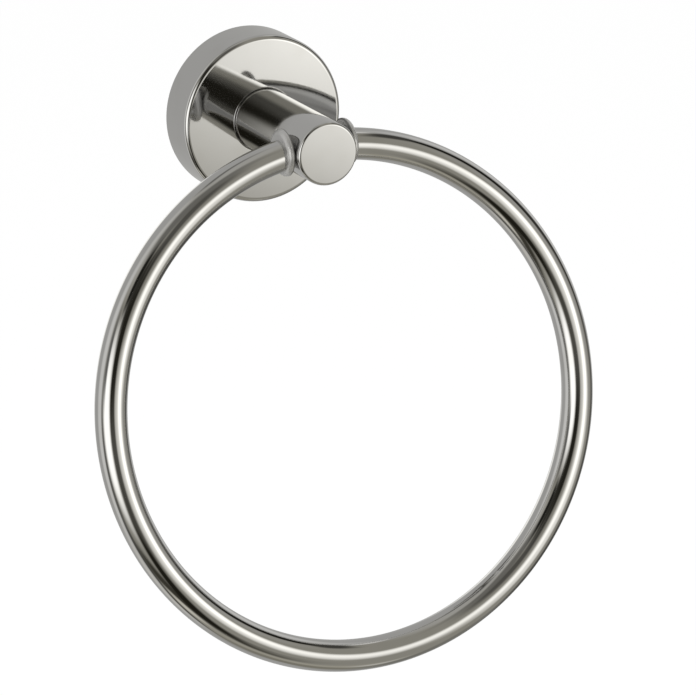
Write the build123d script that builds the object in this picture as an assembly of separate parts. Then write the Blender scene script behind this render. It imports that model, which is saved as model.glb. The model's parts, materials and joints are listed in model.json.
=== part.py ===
"""Wall-mounted towel ring: a flange cup, a turned post and a ring that swings in it.

Sizes are in millimetres. X runs along the wall to the right, +Y goes into the wall and +Z is up.
The origin is the centre of the flange on the wall, so the post stands out towards -Y.
"""
import os
from math import sqrt

from build123d import *

# Flange cup: a round cap with a slightly crowned face and a shallow recess in it for the post
FLANGE_DIAMETER = 54.0
FLANGE_DEPTH = 14.9            # from the wall to the edge of the face, as if that edge were sharp
FLANGE_WALL = 2.2
FACE_CROWN_RADIUS = 700.0
FACE_EDGE_RADIUS = 1.6
RECESS_DEPTH = 1.0
RECESS_CLEARANCE = 0.05        # on the radius, round the post
RECESS_LIP_RADIUS = 0.6
BACK_EDGE_CHAMFER = 0.3

# Post: one turned bar in the flange's recess, whose front is the hub that the ring turns in
POST_DIAMETER = 20.0
POST_LENGTH = 47.2
FRONT_CROWN_RADIUS = 450.0     # of its front face
FRONT_EDGE_RADIUS = 0.9
ROOT_CHAMFER = 0.3

# Ring: a tube bent round, with a turned collar on each of its two ends
RING_DIAMETER = 159.4          # at the middle of the tube
TUBE_DIAMETER = 10.0
TUBE_WALL = 1.0
PIVOT_SETBACK = 9.75           # from the post's front face back to the axis the ring turns on
RING_SWING = 12.0              # degrees that the ring is swung out from the wall
COLLAR_THICKNESS = 2.0
COLLAR_LIP = 2.4               # how far a collar stands out past the tube
COLLAR_EDGE_RADIUS = 1.5
COLLAR_GAP = 0.1               # running gap between a collar and the post's side
JOURNAL_DIAMETER = 8.0
JOURNAL_LENGTH = 6.0
JOURNAL_CLEARANCE = 0.05       # on the radius
JOURNAL_CHAMFER = 0.5
PLUG_LENGTH = 6.0              # of the collar's plug inside the tube
PLUG_CLEARANCE = 0.1           # on the radius

# Tie screw: from inside the flange into the post
SCREW_DIAMETER = 6.0
SCREW_HEAD_DIAMETER = 10.0
SCREW_HEAD_HEIGHT = 6.0
SCREW_SOCKET = 5.0             # across the flats
SCREW_SOCKET_DEPTH = 3.0
SCREW_ENGAGEMENT = 12.2        # length of thread in the post
SCREW_TIP_ROOM = 0.6
SCREW_HOLE_CLEARANCE = 0.3     # on the radius, where the screw passes through
THREAD_CLEARANCE = 0.05        # on the radius, where it is screwed in
WASHER_DIAMETER = 11.8
WASHER_THICKNESS = 1.6
WASHER_SPLIT = 0.8

# Wall plate: a shallow steel dish screwed to the wall, which the flange slips over
PLATE_THICKNESS = 2.0
PLATE_DEPTH = 8.0
PLATE_CLEARANCE = 0.4          # on the radius, inside the flange
PLATE_BEND_RADIUS = 1.0
SLOT_SPACING = 28.0
SLOT_WIDTH = 5.0
SLOT_LENGTH = 8.0

# Grub screw: under the flange, biting into the plate's lip
GRUB_DIAMETER = 4.0
GRUB_REACH = 4.5               # from the wall to its axis
GRUB_RECESS = 0.3              # below the flange's side
GRUB_SEAT_DEPTH = 0.6          # drilled into the plate's lip
GRUB_SOCKET = 2.0              # across the flats
GRUB_SOCKET_DEPTH = 1.5

# Places that follow from those sizes, as distances out from the wall or from an axis
FLANGE_RADIUS = FLANGE_DIAMETER / 2
CUP_RADIUS = FLANGE_RADIUS - FLANGE_WALL
POST_RADIUS = POST_DIAMETER / 2
RING_RADIUS = RING_DIAMETER / 2
TUBE_RADIUS = TUBE_DIAMETER / 2


def crown_drop(crown, radius):
    """How far a face with this crown radius has fallen away at a distance from its top."""
    return crown - sqrt(crown**2 - radius**2)


RECESS_RADIUS = POST_RADIUS + RECESS_CLEARANCE
FACE_RISE = crown_drop(FACE_CROWN_RADIUS, FLANGE_RADIUS) - crown_drop(FACE_CROWN_RADIUS, RECESS_RADIUS)
FACE_REACH = FLANGE_DEPTH + FACE_RISE
ROOT_REACH = FACE_REACH - RECESS_DEPTH
CUP_FLOOR_REACH = ROOT_REACH - FLANGE_WALL
FRONT_REACH = ROOT_REACH + POST_LENGTH
PIVOT_REACH = FRONT_REACH - PIVOT_SETBACK
COLLAR_INNER = POST_RADIUS + COLLAR_GAP
COLLAR_OUTER = COLLAR_INNER + COLLAR_THICKNESS
COLLAR_RADIUS = TUBE_RADIUS + COLLAR_LIP
TUBE_BORE_RADIUS = TUBE_RADIUS - TUBE_WALL
LIP_RADIUS = CUP_RADIUS - PLATE_CLEARANCE
SCREW_HEAD_REACH = CUP_FLOOR_REACH - WASHER_THICKNESS


def turned(*edges):
    """Turn an outline about the post's axis; its X is the radius and its Y is minus the reach."""
    return revolve(make_face(Wire(list(edges))), Axis.Y)


def rod(radius, near, far):
    """A round bar on the post's axis between two distances from the wall."""
    return Pos(0, -near, 0) * Rot(90, 0, 0) * Cylinder(
        radius, far - near, align=(Align.CENTER, Align.CENTER, Align.MIN)
    )


def hex_socket(flats, near, far):
    """A six-sided hole on the post's axis between two distances from the wall."""
    hexagon = RegularPolygon(flats / 2, 6, major_radius=False)
    return Pos(0, -near, 0) * Rot(90, 0, 0) * extrude(hexagon, far - near)


def rims(shape, radius):
    """Round edges of this radius about the post's axis, the one farthest from the wall first."""
    circles = shape.edges().filter_by(GeomType.CIRCLE)
    return circles.filter_by(lambda edge: abs(edge.radius - radius) < 1e-6).sort_by(Axis.Y)


def grub_axis(shape):
    """Stand a shape on the grub screw's axis, with its own +Z pointing down and out of the flange."""
    return Pos(0, -GRUB_REACH, 0) * Rot(180, 0, 0) * shape


def upright(radius, low, high):
    """A round bar along +Z between two heights."""
    return Pos(0, 0, low) * Cylinder(radius, high - low, align=(Align.CENTER, Align.CENTER, Align.MIN))


def swung(shape):
    """Swing a piece, drawn with the ring hanging straight, about the pivot to where the ring rests."""
    return Pos(0, -PIVOT_REACH, 0) * Rot(-RING_SWING, 0, 0) * shape


def ring_bend(radius):
    """A whole round of this thickness on the ring's line, hanging straight from the pivot."""
    return Pos(0, 0, -RING_RADIUS) * Rot(90, 0, 0) * Torus(RING_RADIUS, radius)


def flange():
    """Round cap, open at the back, with a crowned face and a rounded lip round the recess for the post."""
    bore = SCREW_DIAMETER / 2 + SCREW_HOLE_CLEARANCE
    lip = (RECESS_RADIUS, -FACE_REACH)
    rim = (FLANGE_RADIUS, -FLANGE_DEPTH)
    cap = turned(
        Line((bore, -ROOT_REACH), (RECESS_RADIUS, -ROOT_REACH)),
        Line((RECESS_RADIUS, -ROOT_REACH), lip),
        RadiusArc(lip, rim, -FACE_CROWN_RADIUS),
        Line(rim, (FLANGE_RADIUS, 0)),
        Line((FLANGE_RADIUS, 0), (CUP_RADIUS, 0)),
        Line((CUP_RADIUS, 0), (CUP_RADIUS, -CUP_FLOOR_REACH)),
        Line((CUP_RADIUS, -CUP_FLOOR_REACH), (bore, -CUP_FLOOR_REACH)),
        Line((bore, -CUP_FLOOR_REACH), (bore, -ROOT_REACH)),
    )
    cap = fillet(rims(cap, RECESS_RADIUS)[0], RECESS_LIP_RADIUS)
    cap = fillet(rims(cap, FLANGE_RADIUS)[0], FACE_EDGE_RADIUS)
    cap = chamfer(rims(cap, FLANGE_RADIUS)[-1], BACK_EDGE_CHAMFER)
    return cap - grub_axis(upright(GRUB_DIAMETER / 2 + THREAD_CLEARANCE, LIP_RADIUS, FLANGE_RADIUS + 1))


def wall_plate():
    """Dished steel disc with two slots for the wall screws and a drilled seat for the grub screw."""
    dish = rod(LIP_RADIUS, 0, PLATE_DEPTH) - rod(LIP_RADIUS - PLATE_THICKNESS, PLATE_THICKNESS, PLATE_DEPTH)
    dish = fillet(rims(dish, LIP_RADIUS)[-1], PLATE_BEND_RADIUS)
    slot = Rot(90, 0, 0) * extrude(SlotOverall(SLOT_LENGTH, SLOT_WIDTH), PLATE_THICKNESS)
    dish -= [Pos(side * SLOT_SPACING / 2, 0, 0) * slot for side in (-1, 1)]
    seat = upright(GRUB_DIAMETER / 2 + THREAD_CLEARANCE, LIP_RADIUS - GRUB_SEAT_DEPTH, LIP_RADIUS + 1)
    return dish - grub_axis(seat)


def grub_screw():
    """Headless screw with a hexagon socket, in the underside of the flange."""
    tip = LIP_RADIUS - GRUB_SEAT_DEPTH
    end = FLANGE_RADIUS - GRUB_RECESS
    socket = extrude(RegularPolygon(GRUB_SOCKET / 2, 6, major_radius=False), GRUB_SOCKET_DEPTH)
    return grub_axis(upright(GRUB_DIAMETER / 2, tip, end) - Pos(0, 0, end - GRUB_SOCKET_DEPTH) * socket)


def ring_hub():
    """Post in one piece: a bar with a crowned front, a cross bore for the ring and a screw hole in its root."""
    corner = (POST_RADIUS, crown_drop(FRONT_CROWN_RADIUS, POST_RADIUS) - FRONT_REACH)
    bar = turned(
        Line((0, -ROOT_REACH), (POST_RADIUS, -ROOT_REACH)),
        Line((POST_RADIUS, -ROOT_REACH), corner),
        RadiusArc(corner, (0, -FRONT_REACH), FRONT_CROWN_RADIUS),
        Line((0, -FRONT_REACH), (0, -ROOT_REACH)),
    )
    bar = fillet(rims(bar, POST_RADIUS)[0], FRONT_EDGE_RADIUS)
    bar = chamfer(rims(bar, POST_RADIUS)[-1], ROOT_CHAMFER)
    thread_end = ROOT_REACH + SCREW_ENGAGEMENT + SCREW_TIP_ROOM
    bar -= rod(SCREW_DIAMETER / 2 + THREAD_CLEARANCE, ROOT_REACH, thread_end)
    cross_bore = Rot(0, 90, 0) * Cylinder(JOURNAL_DIAMETER / 2 + JOURNAL_CLEARANCE, POST_DIAMETER)
    return bar - Pos(0, -PIVOT_REACH, 0) * cross_bore


def tie_screw():
    """Socket-head screw that holds the post on the flange."""
    head = rod(SCREW_HEAD_DIAMETER / 2, SCREW_HEAD_REACH - SCREW_HEAD_HEIGHT, SCREW_HEAD_REACH)
    shank = rod(SCREW_DIAMETER / 2, SCREW_HEAD_REACH, ROOT_REACH + SCREW_ENGAGEMENT)
    top = SCREW_HEAD_REACH - SCREW_HEAD_HEIGHT
    return head + shank - hex_socket(SCREW_SOCKET, top, top + SCREW_SOCKET_DEPTH)


def spring_washer():
    """Split washer under the tie screw's head."""
    ring = rod(WASHER_DIAMETER / 2, SCREW_HEAD_REACH, CUP_FLOOR_REACH)
    ring -= rod(SCREW_DIAMETER / 2 + SCREW_HOLE_CLEARANCE, SCREW_HEAD_REACH, CUP_FLOOR_REACH)
    middle = (SCREW_HEAD_REACH + CUP_FLOOR_REACH) / 2
    split = Box(
        WASHER_SPLIT, 2 * WASHER_THICKNESS, WASHER_DIAMETER, align=(Align.CENTER, Align.CENTER, Align.MIN)
    )
    return ring - Pos(0, -middle, 0) * split


def ring():
    """Tube bent round from one collar to the other, its ends cut flat to seat on them."""
    tube = ring_bend(TUBE_RADIUS) - ring_bend(TUBE_BORE_RADIUS)
    gap = Box(2 * COLLAR_OUTER, 4 * TUBE_DIAMETER, 4 * TUBE_DIAMETER)
    return swung(tube - gap)


def collar(side):
    """Turned end fitting: a disc, a journal into the post and a plug bent to follow the tube's bore."""
    journal_radius = JOURNAL_DIAMETER / 2
    journal_end = COLLAR_INNER - JOURNAL_LENGTH
    disc = Pos(COLLAR_INNER, 0, 0) * Rot(0, 90, 0) * Cylinder(
        COLLAR_RADIUS, COLLAR_THICKNESS, align=(Align.CENTER, Align.CENTER, Align.MIN)
    )
    disc = fillet(disc.edges().filter_by(GeomType.CIRCLE).sort_by(Axis.X)[-1], COLLAR_EDGE_RADIUS)
    journal = Pos(journal_end, 0, 0) * Rot(0, 90, 0) * Cylinder(
        journal_radius, JOURNAL_LENGTH, align=(Align.CENTER, Align.CENTER, Align.MIN)
    )
    journal = chamfer(journal.edges().filter_by(GeomType.CIRCLE).sort_by(Axis.X)[0], JOURNAL_CHAMFER)
    reach = Box(
        PLUG_LENGTH, 4 * TUBE_DIAMETER, 4 * TUBE_DIAMETER, align=(Align.MIN, Align.CENTER, Align.CENTER)
    )
    plug = ring_bend(TUBE_BORE_RADIUS - PLUG_CLEARANCE) & Pos(COLLAR_OUTER, 0, 0) * reach
    fitting = disc + journal + plug
    return swung(fitting if side > 0 else mirror(fitting, Plane.YZ))


NODES = {
    "flange": flange(),
    "wall_plate": wall_plate(),
    "grub_screw": grub_screw(),
    "ring_hub": ring_hub(),
    "tie_screw": tie_screw(),
    "spring_washer": spring_washer(),
    "ring": ring(),
    "left_collar": collar(-1),
    "right_collar": collar(1),
}

os.makedirs("parts", exist_ok=True)
for name, solid in NODES.items():
    export_step(solid, f"parts/{name}.step")
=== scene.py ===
"""Polished towel ring: wall flange, turned post, swinging tube ring and the fixings behind them.

Every piece is modelled at its place in the part's own frame, in metres: +X along the wall, +Y into
the wall and +Z up, with the origin at the centre of the flange's back. A reach is a distance out from
the wall.
"""
import json
import math
from typing import NamedTuple

import bmesh
import bpy
from bpy.props import FloatProperty, FloatVectorProperty, PointerProperty
from mathutils import Matrix, Vector


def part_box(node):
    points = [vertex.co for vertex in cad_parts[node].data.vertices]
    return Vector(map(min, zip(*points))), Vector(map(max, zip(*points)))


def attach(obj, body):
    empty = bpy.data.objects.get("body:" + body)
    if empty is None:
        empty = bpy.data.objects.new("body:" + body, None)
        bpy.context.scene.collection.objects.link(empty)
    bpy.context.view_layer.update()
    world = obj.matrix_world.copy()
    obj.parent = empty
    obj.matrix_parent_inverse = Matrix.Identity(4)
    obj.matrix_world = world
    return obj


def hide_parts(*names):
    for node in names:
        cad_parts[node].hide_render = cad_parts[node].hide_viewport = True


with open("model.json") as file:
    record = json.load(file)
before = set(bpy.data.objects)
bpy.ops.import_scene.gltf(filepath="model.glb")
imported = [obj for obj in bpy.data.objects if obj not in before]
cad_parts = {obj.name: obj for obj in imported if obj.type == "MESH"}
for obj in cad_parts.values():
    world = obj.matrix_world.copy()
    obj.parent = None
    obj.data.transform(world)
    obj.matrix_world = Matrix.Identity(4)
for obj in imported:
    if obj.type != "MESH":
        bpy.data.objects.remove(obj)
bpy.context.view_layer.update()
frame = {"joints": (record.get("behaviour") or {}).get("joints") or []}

bl_info = {
    "name": "Towel Ring",
    "version": (1, 0, 0),
    "blender": (4, 5, 0),
    "location": "View3D > Sidebar > Towel Ring",
    "description": "Builds a polished towel ring on its wall flange, with its fixings and a studio",
    "category": "Object",
}

MM = 0.001


# Places read from the frame

def reaches(node):
    """The nearest and the farthest that a piece lies from the wall."""
    low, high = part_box(node)
    return -high.y, -low.y


def half_width(node):
    """Half of a piece's width along the wall."""
    low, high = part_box(node)
    return (high.x - low.x) / 2


ROOT_REACH, FRONT_REACH = reaches("ring_hub")
WASHER_NEAR, CUP_FLOOR_REACH = reaches("spring_washer")
SCREW_NEAR, SCREW_END = reaches("tie_screw")
GRUB_LOW, GRUB_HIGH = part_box("grub_screw")
GRUB_REACH = -(GRUB_LOW.y + GRUB_HIGH.y) / 2
PIVOT = Vector(frame["joints"][0]["pos_m"])
PIVOT_REACH = -PIVOT.y

# Fineness of the meshes
TURN_STEPS = 256               # round a turned piece
SCREW_STEPS = 96               # round the tie screw and its washer
GRUB_STEPS = 64                # round the grub screw
THREAD_ROWS = 6                # along each turn of a thread
TUBE_STEPS = 720               # along the ring
SECTION_STEPS = 72             # round the ring's tube
HOLE_SIDES = 64                # round a drilled hole
SLOT_SIDES = 62                # round the two ends of a slot
ARC_STEPS = 8                  # along a rounded edge
CROWN_STEPS = 10               # across a face that bulges
HOLD = 0.03 * MM               # from a rounded edge to the row that keeps the flat beside it flat
SHARP_ANGLE = math.radians(28)

# Small fits and edges
GRUB_FIT = 0.05 * MM           # between the grub screw and its hole
GRUB_DRILL = 6 * MM            # length of the drill that goes through the flange's side
GRUB_SEAT = 2 * MM             # length of the drill that sinks the seat in the plate
GRUB_LEAD = 0.3 * MM           # bevel at both ends of the grub screw
JOURNAL_LEAD = 0.5 * MM        # bevel at the tip of a journal
FINE_EDGE = 0.15 * MM          # rounding of a collar's inner edge and of the washer
BROKEN_EDGE = 0.2 * MM         # rounding of the plate's lip and under the tie screw's head
HEAD_EDGE = 0.4 * MM           # rounding of the tie screw's head
SCREW_TIP = 1 * MM             # plain end of the tie screw
SCREW_TAPER = 0.7 * MM         # how much that end narrows
THREAD_DEPTH = 0.61            # of a thread, in pitches
BORE_MARGIN = 0.65             # from the middle of the cross bore to the rows beside it, in bores
SPLIT_SAW = 4 * MM             # how far along the post the saw reaches that splits the washer
HEXAGON = 1 / math.cos(math.pi / 6)    # from a hexagon's middle to its corners, for flats one away
SQUARE = math.sqrt(0.5)                # from a square's middle to its corners, for sides of one


# Settings that a user would change

def length(name, description, default):
    """A size, shown in the scene's own unit."""
    return FloatProperty(
        name=name, description=description, default=default, min=0.0, unit="LENGTH", precision=5
    )


def share(name, description, default):
    """A number from nothing to one."""
    return FloatProperty(
        name=name, description=description, default=default, min=0.0, max=1.0, subtype="FACTOR"
    )


def colour(name, description, default):
    """A colour, in linear light."""
    return FloatVectorProperty(
        name=name, description=description, default=default, size=3, min=0.0, max=1.0, subtype="COLOR"
    )


class FlangeSizes(bpy.types.PropertyGroup):
    """The round cap on the wall."""

    diameter: length("Diameter", "Across the cap", 2 * half_width("flange"))
    wall: length("Wall", "Thickness of the cap's side", 2.2 * MM)
    screw_hole: length("Screw hole", "Hole that the tie screw passes through", 6.6 * MM)
    depth: length("Depth", "From the wall to the face's edge, as if that edge were sharp", 14.9 * MM)
    face_crown: length("Face crown", "Radius that the face bulges on", 700 * MM)
    edge_radius: length("Edge radius", "Rounding between the face and the side", 1.6 * MM)
    recess: length("Recess", "Diameter of the recess that the post stands in", 20.1 * MM)
    recess_lip: length("Recess lip", "Rounding of the recess's edge", 0.6 * MM)
    back_chamfer: length("Back chamfer", "Bevel of the edge that meets the wall", 0.3 * MM)


class PostSizes(bpy.types.PropertyGroup):
    """The turned bar that carries the ring."""

    diameter: length("Diameter", "Across the post", 2 * half_width("ring_hub"))
    front_crown: length("Front crown", "Radius that the front bulges on", 450 * MM)
    edge_radius: length("Edge radius", "Rounding of the front's edge", 0.9 * MM)
    root_chamfer: length("Root chamfer", "Bevel of the edge in the flange's recess", 0.3 * MM)
    thread_hole: length("Thread hole", "Hole in the root that the tie screw bites in", 6.1 * MM)
    thread_depth: length("Thread depth", "Depth of that hole", 12.8 * MM)
    cross_bore: length("Cross bore", "Hole that the ring's journals turn in", 8.1 * MM)


class RingSizes(bpy.types.PropertyGroup):
    """The bent tube."""

    tube: length("Tube", "Diameter of the tube", 10 * MM)
    diameter: length("Diameter", "Across the ring, outside", 2 * half_width("ring"))
    end: length("End", "How far from the middle of the post the tube's ends are", 11.1 * MM)
    swing: FloatProperty(
        name="Swing", description="How far the ring stands out from hanging straight",
        default=math.radians(12), subtype="ANGLE",
    )


class CollarSizes(bpy.types.PropertyGroup):
    """The turned fittings on the tube's ends."""

    diameter: length("Diameter", "Across the disc", 14.8 * MM)
    inner: length("Inner face", "From the middle of the post to the disc", 10.1 * MM)
    thickness: length("Thickness", "Of the disc", 2 * MM)
    rounding: length("Rounding", "Outer edge of the disc", 1.5 * MM)
    journal: length("Journal", "Diameter of the pin in the hub", 8 * MM)
    journal_length: length("Journal length", "Of the pin in the hub", 6 * MM)


class PlateSizes(bpy.types.PropertyGroup):
    """The dished plate on the wall, inside the flange."""

    diameter: length("Diameter", "Across the dish", 2 * half_width("wall_plate"))
    thickness: length("Thickness", "Of the sheet", 2 * MM)
    depth: length("Depth", "How far the lip stands out from the wall", reaches("wall_plate")[1])
    bend: length("Bend", "Rounding of the bend", 1 * MM)
    slot_spacing: length("Slot spacing", "Between the wall screws", 28 * MM)
    slot_length: length("Slot length", "Overall", 8 * MM)
    slot_width: length("Slot width", "For the wall screws", 5 * MM)


class ScrewSizes(bpy.types.PropertyGroup):
    """The tie screw, its washer and the grub screw."""

    head: length("Head", "Diameter of the tie screw's head", 2 * half_width("tie_screw"))
    shank: length("Shank", "Diameter of the tie screw", 6 * MM)
    socket: length("Socket", "Across the flats of the tie screw's socket", 5 * MM)
    socket_depth: length("Socket depth", "Of the tie screw", 3 * MM)
    pitch: length("Pitch", "Of the tie screw's thread", 1 * MM)
    threaded: length("Threaded", "Length of the tie screw's thread", 14 * MM)
    washer_split: length("Washer split", "Gap in the spring washer", 0.8 * MM)
    grub_pitch: length("Grub pitch", "Of the grub screw's thread", 0.7 * MM)
    grub_socket: length("Grub socket", "Across the flats of the grub screw's socket", 2 * MM)
    grub_socket_depth: length("Grub socket depth", "Of the grub screw", 1.5 * MM)


class SteelFinish(bpy.types.PropertyGroup):
    """Colours and polish of the metals."""

    polished: colour("Polished steel", "Colour of the polished pieces", (0.62, 0.618, 0.612))
    haze: colour("Polishing haze", "Colour where the polish is dull", (0.593, 0.589, 0.577))
    gloss: share("Polish roughness", "Roughness of the mirror polish", 0.035)
    collar_gloss: share("Collar roughness", "Roughness of the collars, which are polished less", 0.4)
    collar_metal: share("Collar metal", "How much of the collars' sheen is not a pale film", 0.95)
    # Painted shade: the collars' rim beside the post is darkened to this colour, standing in for the
    # shade in the narrow gap to the post.
    crevice_shade: colour("Crevice", "Colour of the collars in the gap beside the post", (0.25, 0.25, 0.245))
    lines: share("Line roughness", "Roughness that the polishing lines add", 0.04)
    plate: colour("Plate steel", "Colour of the pressed plate", (0.62, 0.62, 0.60))
    plate_gloss: share("Plate roughness", "Roughness of the pressed plate at its smoothest", 0.26)
    screw: colour("Screw steel", "Colour of the screws", (0.52, 0.52, 0.52))
    screw_gloss: share("Screw roughness", "Roughness of the screws at their smoothest", 0.24)


class StudioLook(bpy.types.PropertyGroup):
    """The floor, the light and the tent that the metal mirrors."""

    floor: colour("Floor", "Colour of the floor", (0.92, 0.92, 0.92))
    floor_drop: length("Floor drop", "From the flange's middle down to the floor", 1.75)
    tent_radius: length("Tent radius", "Of the light tent", 1.5)
    lamp: FloatProperty(
        name="Lamps", description="Power of each lamp", default=70.0, min=0.0, unit="POWER"
    )


class TowelRingSettings(bpy.types.PropertyGroup):
    """All settings of the towel ring."""

    flange: PointerProperty(type=FlangeSizes)
    post: PointerProperty(type=PostSizes)
    ring: PointerProperty(type=RingSizes)
    collar: PointerProperty(type=CollarSizes)
    plate: PointerProperty(type=PlateSizes)
    screws: PointerProperty(type=ScrewSizes)
    steel: PointerProperty(type=SteelFinish)
    studio: PointerProperty(type=StudioLook)


# Meshes

def rounded(corners):
    """Points of an outline through (radius, reach, rounding) corners, with an arc for each rounding."""
    points = []
    for i, (radius, reach, rounding) in enumerate(corners):
        here = Vector((radius, reach))
        if not rounding:
            points.append(here)
            continue
        before = (Vector(corners[i - 1][:2]) - here).normalized()
        after = (Vector(corners[(i + 1) % len(corners)][:2]) - here).normalized()
        half = before.angle(after) / 2
        run = rounding / math.tan(half)
        centre = here + (before + after).normalized() * (rounding / math.sin(half))
        start = here + before * run - centre
        turn = -start.angle_signed(here + after * run - centre)
        points.append(here + before * (run + HOLD))
        for step in range(ARC_STEPS + 1):
            points.append(centre + Matrix.Rotation(turn * step / ARC_STEPS, 2) @ start)
        points.append(here + after * (run + HOLD))
    return points


def crown_drop(crown, radius):
    """How far a face that bulges on a crown radius has fallen at this distance from its middle."""
    return crown - math.sqrt(crown**2 - radius**2)


def new_piece(name, shape):
    """An object at the origin made from a bmesh, with its faces pointing outwards."""
    bmesh.ops.recalc_face_normals(shape, faces=shape.faces)
    mesh = bpy.data.meshes.new(name)
    shape.to_mesh(mesh)
    shape.free()
    piece = bpy.data.objects.new(name, mesh)
    bpy.context.scene.collection.objects.link(piece)
    return piece


def turned(name, outline, closed=False, steps=TURN_STEPS, cutting=None):
    """Turn (radius, reach) points round the post's axis; cutting changes a radius by its place."""
    shape = bmesh.new()
    rows = []
    for radius, reach in outline:
        row = []
        for step in range(steps if radius > HOLD else 1):
            angle = math.tau * step / steps
            out = cutting(radius, reach, angle) if cutting else radius
            row.append(shape.verts.new((out * math.cos(angle), -reach, out * math.sin(angle))))
        rows.append(row)
    following = rows[1:] + rows[:1] if closed else rows[1:]
    for near, far in zip(rows, following):
        for step in range(steps):
            side = (step + 1) % steps
            loop = [
                near[step % len(near)],
                near[side % len(near)],
                far[side % len(far)],
                far[step % len(far)],
            ]
            shape.faces.new(list(dict.fromkeys(loop)))
    return new_piece(name, shape)


def peg(radius, depth, place, sides=HOLE_SIDES, stretch=0.0):
    """A round or many-sided bar that cuts a hole; stretch pulls it out along its own X to cut a slot."""
    shape = bmesh.new()
    bmesh.ops.create_cone(
        shape, cap_ends=True, segments=sides, radius1=radius, radius2=radius, depth=depth
    )
    for vertex in shape.verts:
        vertex.co.x += math.copysign(stretch / 2, vertex.co.x)
    bmesh.ops.transform(shape, matrix=place, verts=shape.verts)
    return new_piece("peg", shape)


def cut(piece, *pegs):
    """Take the shape of each peg out of a piece."""
    for tool in pegs:
        modifier = piece.modifiers.new("cut", "BOOLEAN")
        modifier.operation = "DIFFERENCE"
        modifier.solver = "EXACT"
        modifier.object = tool
    bake_mesh(piece)
    for tool in pegs:
        bpy.data.objects.remove(tool)


def bake_mesh(piece):
    """Keep what a piece's modifiers make of it as a plain mesh."""
    depsgraph = bpy.context.evaluated_depsgraph_get()
    mesh = bpy.data.meshes.new_from_object(piece.evaluated_get(depsgraph))
    piece.modifiers.clear()
    piece.data = mesh
    mesh.name = piece.name


def fit(piece, material, body, slot, *nodes):
    """Give a piece its shading and finish, and hang it on its body in place of its nodes."""
    piece.data.shade_smooth()
    piece.data.set_sharp_from_angle(angle=SHARP_ANGLE)
    piece.data.materials.clear()
    piece.data.materials.append(material)
    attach(piece, body)
    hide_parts(*nodes)


def along_post(reach):
    """A place on the post's axis, with its own Z along that axis."""
    return Matrix.Translation((0, -reach, 0)) @ Matrix.Rotation(math.pi / 2, 4, "X")


def threaded(radius, pitch, start, end):
    """A cutting of a screw thread on bars of this radius, between two reaches."""
    depth = THREAD_DEPTH * pitch

    def cutting(bar, reach, angle):
        if abs(bar - radius) > HOLD or not start <= reach <= end:
            return bar
        turn = (reach / pitch + angle / math.tau) % 1
        return bar - depth * abs(2 * turn - 1)

    return cutting


def thread_rows(radius, pitch, start, end):
    """Outline points that are close enough together to carry a thread."""
    count = round(THREAD_ROWS * (end - start) / pitch)
    return [(radius, start + (end - start) * i / count) for i in range(count + 1)]


# Node trees written as expressions

class Wire:
    """A socket of a node tree; sums and products of wires add the nodes that work them out."""

    def __init__(self, sheet, socket):
        self.sheet = sheet
        self.socket = socket

    def maths(self, operation, *values):
        """A Math node on these values."""
        return self.sheet.maths(operation, *values)

    def __add__(self, other):
        return self.maths("ADD", self, other)

    def __sub__(self, other):
        return self.maths("SUBTRACT", self, other)

    def __rsub__(self, other):
        return self.maths("SUBTRACT", other, self)

    def __mul__(self, other):
        return self.maths("MULTIPLY", self, other)

    def __truediv__(self, other):
        return self.maths("DIVIDE", self, other)

    def __rtruediv__(self, other):
        return self.maths("DIVIDE", other, self)

    def __pow__(self, other):
        return self.maths("POWER", self, other)

    def __rpow__(self, other):
        return self.maths("POWER", other, self)

    def __abs__(self):
        return self.maths("ABSOLUTE", self)

    __radd__ = __add__
    __rmul__ = __mul__


class NodeSheet:
    """A node tree of a material, the world or a shape, and the short ways to add to it."""

    def __init__(self, tree):
        self.tree = tree
        self.tree.nodes.clear()

    def node(self, kind, settings=None, sockets=None, out=0):
        """Add a node, set it up, give its sockets values or links, and return one of its outputs."""
        node = self.tree.nodes.new(kind)
        for key, value in (settings or {}).items():
            setattr(node, key, value)
        for key, value in (sockets or {}).items():
            if isinstance(value, Wire):
                self.tree.links.new(value.socket, node.inputs[key])
            else:
                node.inputs[key].default_value = value
        return Wire(self, node.outputs[out]) if len(node.outputs) else node

    def maths(self, operation, *values):
        """A Math node on numbers or wires."""
        return self.node("ShaderNodeMath", {"operation": operation}, dict(enumerate(values)))

    def split(self, vector):
        """The three numbers of a vector."""
        node = self.node("ShaderNodeSeparateXYZ", None, {0: vector}).socket.node
        return [Wire(self, output) for output in node.outputs]

    def join(self, x, y, z):
        """A vector of three numbers."""
        return self.node("ShaderNodeCombineXYZ", None, {0: x, 1: y, 2: z})

    def ramp(self, value, start, end):
        """Nothing at the start and one at the end, with a soft passage between them."""
        settings = {"interpolation_type": "SMOOTHSTEP"}
        return self.node("ShaderNodeMapRange", settings, {"Value": value, 1: start, 2: end})

    def mix(self, factor, first, second):
        """A colour between two others."""
        settings = {"data_type": "RGBA"}
        return self.node("ShaderNodeMix", settings, {0: factor, 6: first, 7: second}, out=2)

    def noise(self, vector, scale, detail, depth=0.0):
        """Cloudy noise from nothing to one, over a vector and a fourth number."""
        settings = {"noise_dimensions": "4D"}
        sockets = {"Vector": vector, "W": depth, "Scale": scale, "Detail": detail}
        return self.node("ShaderNodeTexNoise", settings, sockets)

    def bump(self, height, strength, distance):
        """The surface's direction, tilted by a height."""
        sockets = {"Height": height, "Strength": strength, "Distance": distance}
        return self.node("ShaderNodeBump", None, sockets, out="Normal")


# Finishes

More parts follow.
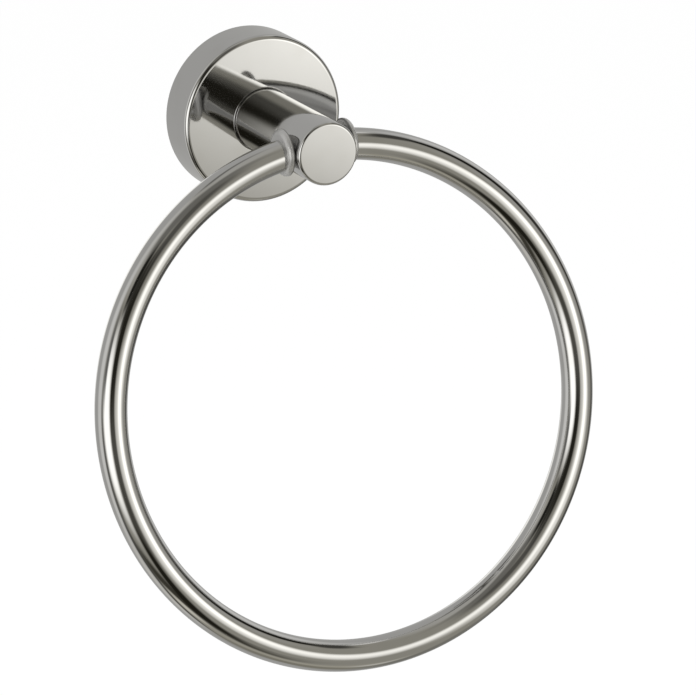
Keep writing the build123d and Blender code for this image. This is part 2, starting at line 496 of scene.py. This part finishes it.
POLISH_LINES = 1400            # polishing lines to the metre
POLISH_STREAKS = 420           # broader streaks among them
POLISH_WAVES = 90              # unevenness left by hand polishing
POLISH_RELIEF = 1e-6           # height of the polish
SATIN_LINES = 2600             # turning lines of the collars
CREVICE_SHADE_WIDTH = 0.25 * MM      # of the painted shade line on a collar's edge beside the post, which fades over as much again
CREVICE_SHADE_DEPTH = 0.3 * MM       # of that painted shade on a collar's inner face, fading in the same way
ROLLING = (60, 900, 1500)      # rolling lines of the plate along X, Y and Z
MOTTLE = 160                   # mottling of the plate's coating
MOTTLE_SHADE = 0.82            # how much of the plate's colour is left in the mottling
PLATE_RELIEF = 2e-5            # height of the rolling lines
TURNING_MARKS = 4500           # marks of the screws' turning
BLOTCHES = 240                 # uneven plating of the screws
BLOTCH_SHADE = 0.7             # how much of the screws' colour is left in the blotches
SCREW_RELIEF = 1e-5            # height of the turning marks


class AxisPlace(NamedTuple):
    """Where a point lies about an axis: the way out to it, how far along it is and how far out."""

    side: Wire
    up: Wire
    along: Wire
    radius: Wire


def opaque(rgb):
    """A colour with its fourth number."""
    return (*rgb, 1.0)


def material_sheet(name):
    """A new material and the sheet that its nodes go on."""
    material = bpy.data.materials.new(name)
    material.use_nodes = True
    return material, NodeSheet(material.node_tree)


def surface(sheet, sockets):
    """End a metal's sheet in a shader and the output."""
    shader = sheet.node("ShaderNodeBsdfPrincipled", None, {"Metallic": 1.0, **sockets})
    sheet.node("ShaderNodeOutputMaterial", None, {"Surface": shader})


def about_axis(sheet, centre, turn):
    """Where the surface lies about a piece's axis, which is Y turned and moved to a centre."""
    place = sheet.node("ShaderNodeTexCoord", out="Object")
    local = sheet.node(
        "ShaderNodeMapping", {"vector_type": "TEXTURE"},
        {"Vector": place, "Location": centre, "Rotation": turn},
    )
    x, along, z = sheet.split(local)
    radius = (x * x + z * z) ** 0.5
    return AxisPlace(x / radius, z / radius, along, radius)


def lines_round(sheet, axis, fineness, patches, detail):
    """Noise drawn out into lines round an axis, and broken into patches along each line."""
    place = sheet.join(axis.side * patches, axis.up * patches, axis.along * fineness)
    return sheet.noise(place, 1.0, detail, axis.radius * fineness)


def polished_steel(name, finish, centre=(0, 0, 0), turn=(0, 0, 0)):
    """Polish with fine lines round the piece's axis and a faint unevenness left by hand polishing."""
    material, sheet = material_sheet(name)
    axis = about_axis(sheet, centre, turn)
    lines = lines_round(sheet, axis, POLISH_LINES, 2.5, 3.0)
    streaks = lines_round(sheet, axis, POLISH_STREAKS, 1.5, 1.0)
    waves = sheet.noise(sheet.node("ShaderNodeTexCoord", out="Object"), POLISH_WAVES, 1.0)
    haze = sheet.ramp(waves, 0.45, 0.8)
    base = sheet.mix(haze, opaque(finish.polished), opaque(finish.haze))
    roughness = finish.gloss + lines * finish.lines + haze * 0.015
    height = lines * 0.25 + streaks * 0.5 + waves * 2.0
    bump = sheet.bump(height, 0.5, POLISH_RELIEF)
    surface(sheet, {"Base Color": base, "Roughness": roughness, "Normal": bump})
    return material


def satin_steel(finish, sizes):
    """Softly polished collars: fine turning lines, a pale film and a dark line of painted shade beside
    the post.
    """
    material, sheet = material_sheet("satin_collar")
    axis = about_axis(sheet, PIVOT, (0, 0, math.pi / 2))
    rim = sizes.diameter / 2
    lines = lines_round(sheet, axis, SATIN_LINES, 2, 3.0)
    # These two ramps mask the rim of the collar's face beside the post, where shade is painted in.
    near_post = sheet.ramp(abs(axis.along), sizes.inner + 2 * CREVICE_SHADE_WIDTH, sizes.inner + CREVICE_SHADE_WIDTH)
    at_rim = sheet.ramp(axis.radius, rim - 2 * CREVICE_SHADE_DEPTH, rim - CREVICE_SHADE_DEPTH)
    # Painted shade: the masked rim takes the dark shade colour, standing in for the shade of the gap to
    # the post.
    base = sheet.mix(near_post * at_rim, opaque(finish.polished), opaque(finish.crevice_shade))
    roughness = finish.collar_gloss + lines * 0.06
    bump = sheet.bump(lines, 0.5, POLISH_RELIEF)
    surface(sheet, {
        "Base Color": base, "Roughness": roughness, "Normal": bump, "Metallic": finish.collar_metal
    })
    return material


def pressed_steel(finish):
    """Plain plated sheet: soft mottling, fine rolling lines along the sheet and a satin shine."""
    material, sheet = material_sheet("pressed_steel")
    place = sheet.node("ShaderNodeTexCoord", out="Object")
    x, y, z = sheet.split(place)
    rolling = sheet.noise(sheet.join(x * ROLLING[0], y * ROLLING[1], z * ROLLING[2]), 1.0, 2.0)
    mottle = sheet.noise(place, MOTTLE, 4.0)
    pale = opaque(finish.plate)
    dark = opaque([MOTTLE_SHADE * value for value in finish.plate])
    base = sheet.mix(sheet.ramp(mottle, 0.35, 0.7), pale, dark)
    roughness = finish.plate_gloss + rolling * 0.14 + mottle * 0.10
    bump = sheet.bump(rolling * 0.6 + mottle, 0.6, PLATE_RELIEF)
    surface(sheet, {"Base Color": base, "Roughness": roughness, "Normal": bump})
    return material


def turned_steel(name, finish, centre=(0, 0, 0), turn=(0, 0, 0)):
    """Plain screw steel with turning marks round its axis and a slightly blotched plating."""
    material, sheet = material_sheet(name)
    axis = about_axis(sheet, centre, turn)
    marks = lines_round(sheet, axis, TURNING_MARKS, 1, 2.0)
    blotch = lines_round(sheet, axis, BLOTCHES, 2, 3.0)
    pale = opaque(finish.screw)
    dark = opaque([BLOTCH_SHADE * value for value in finish.screw])
    base = sheet.mix(sheet.ramp(blotch, 0.4, 0.75), pale, dark)
    roughness = finish.screw_gloss + marks * 0.16 + blotch * 0.08
    bump = sheet.bump(marks, 0.5, SCREW_RELIEF)
    surface(sheet, {"Base Color": base, "Roughness": roughness, "Normal": bump})
    return material


# Shapes grown by node trees

def shape_tree(name, inputs):
    """An empty tree with these named inputs, and wires to them by name."""
    tree = bpy.data.node_groups.new(name, "GeometryNodeTree")
    sheet = NodeSheet(tree)
    tree.interface.new_socket("Shape", in_out="OUTPUT", socket_type="NodeSocketGeometry")
    for key, kind in inputs.items():
        tree.interface.new_socket(key, in_out="INPUT", socket_type=kind)
    group = tree.nodes.new("NodeGroupInput")
    return sheet, {key: Wire(sheet, group.outputs[key]) for key in inputs}


def end_tree(sheet, geometry, material):
    """Make a tree's copies real, give them their finish and end the tree."""
    real = sheet.node("GeometryNodeRealizeInstances", None, {0: geometry})
    done = sheet.node("GeometryNodeSetMaterial", None, {"Geometry": real, "Material": material})
    sheet.node("NodeGroupOutput", None, {0: done})


def grow(piece, sheet, values):
    """Run a tree on a piece with these values and keep the result as a plain mesh."""
    modifier = piece.modifiers.new("shape", "NODES")
    modifier.node_group = sheet.tree
    for item in sheet.tree.interface.items_tree:
        if item.in_out == "INPUT" and item.name in values:
            modifier[item.identifier] = values[item.name]
    bake_mesh(piece)


def ring_tree():
    """A round tube along an open circle, turned and moved to where the ring hangs."""
    sheet, given = shape_tree("ring_tube", {
        "Ring radius": "NodeSocketFloat",
        "Tube radius": "NodeSocketFloat",
        "Half opening": "NodeSocketFloat",
        "Centre": "NodeSocketVector",
        "Turn": "NodeSocketVector",
        "Steel": "NodeSocketMaterial",
    })
    start = given["Half opening"] + math.pi / 2
    path = sheet.node("GeometryNodeCurveArc", None, {
        "Resolution": TUBE_STEPS,
        "Radius": given["Ring radius"],
        "Start Angle": start,
        "Sweep Angle": math.tau - given["Half opening"] * 2,
    })
    section = sheet.node(
        "GeometryNodeCurvePrimitiveCircle", None,
        {"Resolution": SECTION_STEPS, "Radius": given["Tube radius"]},
    )
    tube = sheet.node(
        "GeometryNodeCurveToMesh", None, {"Curve": path, "Profile Curve": section, "Fill Caps": True}
    )
    hung = sheet.node(
        "GeometryNodeTransform", None,
        {"Geometry": tube, "Translation": given["Centre"], "Rotation": given["Turn"]},
    )
    end_tree(sheet, hung, given["Steel"])
    return sheet


def pair_tree():
    """The piece itself and the same turned half round the pivot's upright."""
    sheet, given = shape_tree("collar_pair", {
        "Collar": "NodeSocketGeometry",
        "Pivot": "NodeSocketVector",
        "Steel": "NodeSocketMaterial",
    })
    points = sheet.node("GeometryNodePoints", None, {"Count": 2, "Position": given["Pivot"]})
    index = sheet.node("GeometryNodeInputIndex")
    facing = sheet.join(0.0, 0.0, index * math.pi)
    copies = sheet.node(
        "GeometryNodeInstanceOnPoints", None,
        {"Points": points, "Instance": given["Collar"], "Rotation": facing},
    )
    end_tree(sheet, copies, given["Steel"])
    return sheet


# Operators, one for each piece or group of like pieces

class TOWELRING_OT_flange(bpy.types.Operator):
    """Turn the cap on the wall and drill it for the grub screw"""

    bl_idname = "towel_ring.flange"
    bl_label = "Flange"

    def execute(self, context):
        settings = context.scene.towel_ring
        sizes = settings.flange
        outer = sizes.diameter / 2
        cup = outer - sizes.wall
        bore = sizes.screw_hole / 2
        recess = sizes.recess / 2
        first = recess + 2 * sizes.recess_lip
        last = outer - 2 * sizes.edge_radius
        face = [first + (last - first) * step / CROWN_STEPS for step in range(CROWN_STEPS + 1)]
        top = sizes.depth + crown_drop(sizes.face_crown, outer)

        def face_reach(radius):
            return top - crown_drop(sizes.face_crown, radius)

        outline = rounded([
            (bore, ROOT_REACH, 0),
            (recess, ROOT_REACH, 0),
            (recess, face_reach(recess), sizes.recess_lip),
            *[(radius, face_reach(radius), 0) for radius in face],
            (outer, face_reach(outer), sizes.edge_radius),
            (outer, sizes.back_chamfer, 0),
            (outer - sizes.back_chamfer, 0, 0),
            (cup, 0, 0),
            (cup, CUP_FLOOR_REACH, 0),
            (bore, CUP_FLOOR_REACH, 0),
        ])
        piece = turned("flange_cap", outline, closed=True)
        drill = Matrix.Translation((0, -GRUB_REACH, -outer))
        cut(piece, peg(half_width("grub_screw") + GRUB_FIT, GRUB_DRILL, drill))
        steel = polished_steel("polished_flange", settings.steel)
        fit(piece, steel, "wall_mount", "polished_steel", "flange")
        return {"FINISHED"}


class TOWELRING_OT_post(bpy.types.Operator):
    """Turn the post and bore it for the ring and the tie screw"""

    bl_idname = "towel_ring.post"
    bl_label = "Post"

    def execute(self, context):
        settings = context.scene.towel_ring
        sizes = settings.post
        post = sizes.diameter / 2
        thread = sizes.thread_hole / 2
        near_bore = BORE_MARGIN * sizes.cross_bore
        last = post - 2 * sizes.edge_radius
        crown = [last * step / CROWN_STEPS for step in range(CROWN_STEPS + 1)]

        def front_reach(radius):
            return FRONT_REACH - crown_drop(sizes.front_crown, radius)

        piece = turned("post_bar", rounded([
            *[(radius, front_reach(radius), 0) for radius in crown],
            (post, front_reach(post), sizes.edge_radius),
            (post, PIVOT_REACH + near_bore, 0),
            (post, PIVOT_REACH - near_bore, 0),
            (post, ROOT_REACH + sizes.root_chamfer, 0),
            (post - sizes.root_chamfer, ROOT_REACH, 0),
            (thread, ROOT_REACH, 0),
            (thread, ROOT_REACH + sizes.thread_depth, 0),
            (0, ROOT_REACH + sizes.thread_depth, 0),
        ]))
        across = Matrix.Translation(PIVOT) @ Matrix.Rotation(math.pi / 2, 4, "Y")
        cut(piece, peg(sizes.cross_bore / 2, 2 * sizes.diameter, across))
        steel = polished_steel("polished_post", settings.steel)
        fit(piece, steel, "wall_mount", "polished_steel", "ring_hub")
        return {"FINISHED"}


class TOWELRING_OT_ring(bpy.types.Operator):
    """Bend the tube round from one collar to the other"""

    bl_idname = "towel_ring.ring"
    bl_label = "Ring"

    def execute(self, context):
        settings = context.scene.towel_ring
        sizes = settings.ring
        radius = (sizes.diameter - sizes.tube) / 2
        centre = PIVOT - radius * Vector((0, math.sin(sizes.swing), math.cos(sizes.swing)))
        turn = Vector((math.pi / 2 - sizes.swing, 0, 0))
        steel = polished_steel("polished_ring", settings.steel, centre, (-sizes.swing, 0, 0))
        piece = new_piece("ring_tube", bmesh.new())
        grow(piece, ring_tree(), {
            "Ring radius": radius,
            "Tube radius": sizes.tube / 2,
            "Half opening": math.asin(sizes.end / radius),
            "Centre": centre,
            "Turn": turn,
            "Steel": steel,
        })
        fit(piece, steel, "swing_ring", "polished_steel", "ring")
        return {"FINISHED"}


class TOWELRING_OT_collars(bpy.types.Operator):
    """Turn a collar with its journal and place it on both ends of the tube"""

    bl_idname = "towel_ring.collars"
    bl_label = "Collars"

    def execute(self, context):
        settings = context.scene.towel_ring
        sizes = settings.collar
        disc = sizes.diameter / 2
        pin = sizes.journal / 2
        tip = sizes.inner - sizes.journal_length
        piece = turned("collar_pair", rounded([
            (0, tip, 0),
            (pin - JOURNAL_LEAD, tip, 0),
            (pin, tip + JOURNAL_LEAD, 0),
            (pin, sizes.inner, 0),
            (disc, sizes.inner, FINE_EDGE),
            (disc, sizes.inner + sizes.thickness, sizes.rounding),
            (0, sizes.inner + sizes.thickness, 0),
        ]))
        piece.data.transform(Matrix.Rotation(math.pi / 2, 4, "Z"))
        steel = satin_steel(settings.steel, sizes)
        grow(piece, pair_tree(), {"Pivot": PIVOT, "Steel": steel})
        fit(piece, steel, "swing_ring", "polished_steel", "left_collar", "right_collar")
        return {"FINISHED"}


class TOWELRING_OT_wall_plate(bpy.types.Operator):
    """Press the dished plate and cut its slots and the grub screw's seat"""

    bl_idname = "towel_ring.wall_plate"
    bl_label = "Wall plate"

    def execute(self, context):
        settings = context.scene.towel_ring
        sizes = settings.plate
        outer = sizes.diameter / 2
        sheet = sizes.thickness
        piece = turned("wall_dish", rounded([
            (0, 0, 0),
            (outer, 0, sizes.bend),
            (outer, sizes.depth, BROKEN_EDGE),
            (outer - sheet, sizes.depth, BROKEN_EDGE),
            (outer - sheet, sheet, BROKEN_EDGE),
            (0, sheet, 0),
        ]))
        slots = []
        for side in (-1, 1):
            place = Matrix.Translation((side * sizes.slot_spacing / 2, 0, 0)) @ along_post(sheet / 2)
            stretch = sizes.slot_length - sizes.slot_width
            slots.append(peg(sizes.slot_width / 2, 2 * sheet, place, sides=SLOT_SIDES, stretch=stretch))
        seat = Matrix.Translation((0, -GRUB_REACH, GRUB_HIGH.z - GRUB_SEAT / 2))
        cut(piece, *slots, peg(half_width("grub_screw") + GRUB_FIT, GRUB_SEAT, seat))
        fit(piece, pressed_steel(settings.steel), "wall_mount", "plate_steel", "wall_plate")
        return {"FINISHED"}


class TOWELRING_OT_fixings(bpy.types.Operator):
    """Cut the tie screw, its spring washer and the grub screw"""

    bl_idname = "towel_ring.fixings"
    bl_label = "Fixings"

    def execute(self, context):
        settings = context.scene.towel_ring
        sizes = settings.screws
        steel = turned_steel("turned_steel", settings.steel)
        self.tie_screw(sizes, steel)
        self.spring_washer(sizes, settings.flange.screw_hole / 2, steel)
        centre = (GRUB_LOW + GRUB_HIGH) / 2
        grub_steel = turned_steel("turned_grub", settings.steel, centre, (math.pi / 2, 0, 0))
        self.grub_screw(sizes, grub_steel)
        return {"FINISHED"}

    def tie_screw(self, sizes, steel):
        """Socket-head screw with a plain head and a cut thread."""
        head = sizes.head / 2
        shank = sizes.shank / 2
        thread = (shank, sizes.pitch, SCREW_END - sizes.threaded, SCREW_END - SCREW_TIP)
        top = rounded([
            (0, SCREW_NEAR, 0),
            (head, SCREW_NEAR, HEAD_EDGE),
            (head, WASHER_NEAR, BROKEN_EDGE),
        ])
        piece = turned("tie_screw_cut", [
            *top[:-1],
            (shank, WASHER_NEAR),
            *thread_rows(*thread),
            (shank - SCREW_TAPER, SCREW_END),
            (0, SCREW_END),
        ], steps=SCREW_STEPS, cutting=threaded(*thread))
        socket = HEXAGON * sizes.socket / 2
        cut(piece, peg(socket, 2 * sizes.socket_depth, along_post(SCREW_NEAR), sides=6))
        fit(piece, steel, "wall_mount", "screw_steel", "tie_screw")

    def spring_washer(self, sizes, bore, steel):
        """Split ring under the tie screw's head."""
        outer = half_width("spring_washer")
        piece = turned("split_washer", rounded([
            (bore, WASHER_NEAR, FINE_EDGE),
            (outer, WASHER_NEAR, FINE_EDGE),
            (outer, CUP_FLOOR_REACH, FINE_EDGE),
            (bore, CUP_FLOOR_REACH, FINE_EDGE),
        ]), closed=True, steps=SCREW_STEPS)
        middle = Matrix.Translation((0, -(WASHER_NEAR + CUP_FLOOR_REACH) / 2, outer / 2 + bore / 2))
        split = Matrix.Diagonal((sizes.washer_split, SPLIT_SAW, 2 * outer - 2 * bore, 1))
        upright = Matrix.Rotation(math.pi / 4, 4, "Z")
        cut(piece, peg(SQUARE, 1, middle @ split @ upright, sides=4))
        fit(piece, steel, "wall_mount", "screw_steel", "spring_washer")

    def grub_screw(self, sizes, steel):
        """Headless screw in the flange's underside."""
        radius = half_width("grub_screw")
        tip = -GRUB_HIGH.z
        end = -GRUB_LOW.z
        thread = (radius, sizes.grub_pitch, tip + GRUB_LEAD, end - GRUB_LEAD)
        piece = turned("grub_screw_cut", [
            (0, tip),
            (radius - GRUB_LEAD, tip),
            *thread_rows(*thread),
            (radius - GRUB_LEAD, end),
            (0, end),
        ], steps=GRUB_STEPS, cutting=threaded(*thread))
        socket = HEXAGON * sizes.grub_socket / 2
        cut(piece, peg(socket, 2 * sizes.grub_socket_depth, along_post(end), sides=6))
        downwards = Matrix.Translation((0, -GRUB_REACH, 0)) @ Matrix.Rotation(math.pi / 2, 4, "X")
        piece.data.transform(downwards)
        fit(piece, steel, "wall_mount", "screw_steel", "grub_screw")


# The studio

class TentPanel(NamedTuple):
    """A soft-edged patch of the light tent.

    Its place and half sizes are in degrees. Its light fades over the edge, a share of the half sizes, on
    both sides of its outline. A squareness of 2 makes it an ellipse and a larger one squares it up, and
    warmth tints its light.
    """

    azimuth: float
    elevation: float
    half_width: float
    half_height: float
    edge: float
    squareness: float
    light: float
    warmth: float


FLOOR_SIZE = 40                # from the middle of the floor to its sides
FLOOR_WHITE = 0.86             # how much of the floor is plain white to the eye
LAMP_SIZE = 1.2                # side of each lamp
LAMP_DISTANCE = 2.2            # from the flange to each lamp
LAMP_RISE = 0.6                # how steeply the lamps look down
TENT_CENTRE = (0, -0.05, -0.07)        # between the post and the middle of the ring
TENT_STEPS = 5                 # how often the tent's facets are divided
TENT_LEVEL = 1.275             # the light of all its cloth and panels together
WARM_RED = 0.7                 # how much red a panel gains for the blue that its warmth takes
WARM_GREEN = 0.3               # how much green it gains
FRONT_CLOTH = (0.26, 0.1)      # light and warmth of the cloth in front
BACK_CLOTH = (0.37, 0.02)      # and of the cloth behind
CLOTH_TURN = (82, 108)         # azimuths between which the front cloth gives way to the back cloth

# Panels of the tent, of which a later one lies over the earlier ones
PANELS = {
    "crown": TentPanel(0, 90, 200, 20, 0.5, 4, 0.36, 0.055),
    "crown shade": TentPanel(-150, 76, 50, 5, 0.7, 3, 0.14, 0.05),
    "left top": TentPanel(-92, 60, 28, 15, 0.7, 3, 0.43, 0.05),
    "top shade": TentPanel(-30, 61, 46, 12, 0.45, 3, 0.145, 0.07),
    "upper shade": TentPanel(-3, 37, 15, 15, 0.5, 3, 0.08, 0.09),
    "foot": TentPanel(0, -82, 118, 14, 0.5, 4, 0.20, 0.14),
    "low front": TentPanel(6, -65, 62, 6, 0.8, 3, 0.33, 0.13),
    "streak": TentPanel(55, -66, 15, 4, 0.8, 2, 0.50, 0.06),
    "left strip": TentPanel(-107, 0, 15, 52, 0.6, 3, 0.62, 0.02),
    "left strip foot": TentPanel(-122, -52, 18, 14, 0.7, 3, 0.54, 0.05),
    "left gap": TentPanel(-85, -30, 9, 38, 0.5, 4, 0.11, 0.06),
    "left gap foot": TentPanel(-88, -60, 12, 8, 0.6, 3, 0.09, 0.12),
    "softbox": TentPanel(-56, 4, 20, 22.5, 0.5, 2.6, 1.30, 0.02),
    "left corner": TentPanel(-76, 22, 9, 12, 0.6, 3, 0.13, 0.03),
    "low shade": TentPanel(-44, -41, 44, 8, 0.6, 4, 0.04, 0.18),
    "low shade tip": TentPanel(-10, -50, 16, 6, 0.7, 3, 0.09, 0.15),
    "low light": TentPanel(-58, -54, 15, 5, 0.7, 3, 0.54, 0.1),
    "high flag": TentPanel(-48, 43, 15, 9, 0.45, 3, 0.012, 0.12),
    "sloping flag": TentPanel(-29, 34, 14, 10, 0.5, 3, 0.03, 0.12),
    "right glow": TentPanel(64, 10, 12, 22, 0.7, 3, 0.34, 0.05),
    "glow tail": TentPanel(47, -18, 13, 11, 0.8, 2, 0.80, 0.05),
    "glow tongue": TentPanel(6, -1, 11, 10, 0.6, 2.5, 0.54, 0.06),
    "glow": TentPanel(32.5, -3, 19, 14, 0.7, 2, 1.0, 0.04),
    "glow core": TentPanel(36.5, 4, 11.5, 10.5, 0.7, 2, 1.45, 0.04),
    "column flag": TentPanel(-17.5, 16, 14.5, 16, 0.4, 4, 0.015, 0.2),
    "column middle": TentPanel(-17, -2, 14, 10, 0.6, 3, 0.075, 0.1),
    "column foot": TentPanel(-21.5, -30, 13, 21, 0.45, 4, 0.012, 0.25),
    "right strip": TentPanel(116, 6, 13, 38, 0.5, 3, 0.57, 0.02),
    "right strip top": TentPanel(102, 58, 11, 6, 0.6, 2.5, 0.62, 0.03),
    "right flag": TentPanel(85, 31, 10.5, 22, 0.35, 4, 0.012, 0.12),
    "right bend": TentPanel(80, 48.5, 20, 5, 0.5, 3, 0.05, 0.08),
    "right flag foot": TentPanel(92, 6, 9, 14, 0.5, 3, 0.035, 0.08),
    "right foot": TentPanel(100, -26, 14, 22, 0.55, 3, 0.085, 0.07),
    "low right": TentPanel(114, -36, 26, 13, 0.6, 3, 0.075, 0.07),
    "low right foot": TentPanel(105, -60, 32, 12, 0.6, 3, 0.17, 0.08),
    "back softbox": TentPanel(179, 0, 15, 16, 0.5, 2, 0.95, 0.03),
}

# The camera, as fitted to the view
VIEW_AZIMUTH = math.radians(-25.3)
VIEW_ELEVATION = math.radians(18.97)
VIEW_ROLL = math.radians(-2.67)
VIEW_DISTANCE = 1.4521
VIEW_TARGET = Vector((0.013755, -0.040, -0.07157))
VIEW_LENS = 237.45
VIEW_END = 100                 # farthest that is seen


def panel_colour(light, warmth):
    """The light of a panel as a colour, a little warmer than white."""
    level = TENT_LEVEL * light
    red = level * (1 + WARM_RED * warmth)
    green = level * (1 + WARM_GREEN * warmth)
    blue = level * (1 - warmth)
    return opaque((red, green, blue))


def tent_cloth(radius):
    """The tent's own light: pale cloth with softboxes, strips and dark flags."""
    material, sheet = material_sheet("tent_cloth")
    material.cycles.emission_sampling = "NONE"
    x, y, z = sheet.split(sheet.node("ShaderNodeTexCoord", out="Object"))
    azimuth = sheet.maths("DEGREES", sheet.maths("ARCTAN2", x, 0 - y))
    elevation = sheet.maths("DEGREES", sheet.maths("ARCSINE", z / radius))
    behind = sheet.ramp(abs(azimuth), *CLOTH_TURN)
    light = sheet.mix(behind, panel_colour(*FRONT_CLOTH), panel_colour(*BACK_CLOTH))
    for panel in PANELS.values():
        across = abs(sheet.maths("WRAP", azimuth - panel.azimuth, 180.0, -180.0)) / panel.half_width
        above = abs(elevation - panel.elevation) / panel.half_height
        spread = (across**panel.squareness + above**panel.squareness) ** (1 / panel.squareness)
        inside = sheet.ramp(spread, 1 + panel.edge, 1 - panel.edge)
        light = sheet.mix(inside, light, panel_colour(panel.light, panel.warmth))
    glow = sheet.node("ShaderNodeEmission", None, {"Color": light})
    sheet.node("ShaderNodeOutputMaterial", None, {"Surface": glow})
    return material


def seen_directly(sheet):
    """One where the eye looks, also by way of metal or glass, and nothing where light only spreads."""
    paths = sheet.node("ShaderNodeLightPath").socket.node
    camera = Wire(sheet, paths.outputs["Is Camera Ray"])
    glossy = Wire(sheet, paths.outputs["Is Glossy Ray"])
    through = Wire(sheet, paths.outputs["Is Transmission Ray"])
    return sheet.maths("MAXIMUM", sheet.maths("MAXIMUM", camera, glossy), through)


def floor_paint(paint):
    """Pale floor that is white to the eye and still takes a soft shadow."""
    material, sheet = material_sheet("floor_paint")
    matt = sheet.node("ShaderNodeBsdfDiffuse", None, {"Color": opaque(paint)})
    white = sheet.node("ShaderNodeEmission", None, {"Strength": 1.0})
    seen = seen_directly(sheet) * FLOOR_WHITE
    blend = sheet.node("ShaderNodeMixShader", None, {0: seen, 1: matt, 2: white})
    sheet.node("ShaderNodeOutputMaterial", None, {"Surface": blend})
    return material


class TOWELRING_OT_stage(bpy.types.Operator):
    """Set up the floor, the light tent, the lamps and the camera"""

    bl_idname = "towel_ring.stage"
    bl_label = "Studio"

    def execute(self, context):
        look = context.scene.towel_ring.studio
        context.scene.view_settings.view_transform = "Standard"
        self.sky(context.scene)
        self.floor(look)
        self.tent(look)
        self.lamps(context.scene, look)
        self.camera(context.scene)
        return {"FINISHED"}

    def sky(self, scene):
        """Plain white all round, which is a soft even light."""
        scene.world = bpy.data.worlds.new("studio")
        scene.world.use_nodes = True
        sheet = NodeSheet(scene.world.node_tree)
        light = sheet.node("ShaderNodeBackground", None, {"Color": (1.0, 1.0, 1.0, 1.0)})
        sheet.node("ShaderNodeOutputWorld", None, {"Surface": light})

    def floor(self, look):
        """A wide pale floor under the tent."""
        shape = bmesh.new()
        bmesh.ops.create_grid(shape, x_segments=1, y_segments=1, size=FLOOR_SIZE)
        piece = new_piece("floor", shape)
        piece.location.z = -look.floor_drop
        piece.data.materials.append(floor_paint(look.floor))

    def tent(self, look):
        """A round tent about the object that only its polish mirrors."""
        shape = bmesh.new()
        bmesh.ops.create_icosphere(shape, subdivisions=TENT_STEPS, radius=look.tent_radius)
        piece = new_piece("light_tent", shape)
        piece.location = TENT_CENTRE
        piece.data.materials.append(tent_cloth(look.tent_radius))
        piece.visible_camera = False
        piece.visible_diffuse = False
        piece.visible_shadow = False
        piece.visible_transmission = False

    def lamps(self, scene, look):
        """Two large soft lamps at the tent's bright sides, which light the floor."""
        for name, panel in (("left_lamp", PANELS["softbox"]), ("right_lamp", PANELS["glow"])):
            data = bpy.data.lights.new(name, "AREA")
            data.energy = look.lamp
            data.size = LAMP_SIZE
            lamp = bpy.data.objects.new(name, data)
            around = math.radians(panel.azimuth)
            direction = Vector((math.sin(around), -math.cos(around), LAMP_RISE)).normalized()
            lamp.location = LAMP_DISTANCE * direction
            lamp.rotation_euler = direction.to_track_quat("Z", "Y").to_euler()
            lamp.visible_glossy = False
            scene.collection.objects.link(lamp)

    def camera(self, scene):
        """A long lens that looks down on the ring from the left."""
        flat = math.cos(VIEW_ELEVATION)
        back = Vector((
            math.sin(VIEW_AZIMUTH) * flat, -math.cos(VIEW_AZIMUTH) * flat, math.sin(VIEW_ELEVATION)
        ))
        right = Vector((math.cos(VIEW_AZIMUTH), math.sin(VIEW_AZIMUTH), 0))
        upright = Matrix((right, back.cross(right), back)).transposed().to_4x4()
        data = bpy.data.cameras.new("camera")
        data.lens = VIEW_LENS
        data.clip_end = VIEW_END
        camera = bpy.data.objects.new("camera", data)
        place = Matrix.Translation(VIEW_TARGET + VIEW_DISTANCE * back)
        camera.matrix_world = place @ upright @ Matrix.Rotation(VIEW_ROLL, 4, "Z")
        scene.collection.objects.link(camera)
        scene.camera = camera


PIECE_OPERATORS = (
    TOWELRING_OT_flange,
    TOWELRING_OT_post,
    TOWELRING_OT_ring,
    TOWELRING_OT_collars,
    TOWELRING_OT_wall_plate,
    TOWELRING_OT_fixings,
    TOWELRING_OT_stage,
)


class TOWELRING_PT_pieces(bpy.types.Panel):
    """Lists what builds the towel ring"""

    bl_label = "Towel Ring"
    bl_idname = "TOWELRING_PT_pieces"
    bl_space_type = "VIEW_3D"
    bl_region_type = "UI"
    bl_category = "Towel Ring"

    def draw(self, context):
        for operator in PIECE_OPERATORS:
            self.layout.operator(operator.bl_idname)


CLASSES = (
    FlangeSizes,
    PostSizes,
    RingSizes,
    CollarSizes,
    PlateSizes,
    ScrewSizes,
    SteelFinish,
    StudioLook,
    TowelRingSettings,
    *PIECE_OPERATORS,
    TOWELRING_PT_pieces,
)


def register():
    """Make the settings, the operators and the panel known."""
    for item in CLASSES:
        bpy.utils.register_class(item)
    bpy.types.Scene.towel_ring = PointerProperty(type=TowelRingSettings)


def unregister():
    """Take them away again."""
    del bpy.types.Scene.towel_ring
    for item in reversed(CLASSES):
        bpy.utils.unregister_class(item)


def main():
    """Build every piece and the studio."""
    register()
    bpy.ops.towel_ring.flange()
    bpy.ops.towel_ring.post()
    bpy.ops.towel_ring.ring()
    bpy.ops.towel_ring.collars()
    bpy.ops.towel_ring.wall_plate()
    bpy.ops.towel_ring.fixings()
    bpy.ops.towel_ring.stage()


if __name__ == "__main__":
    main()
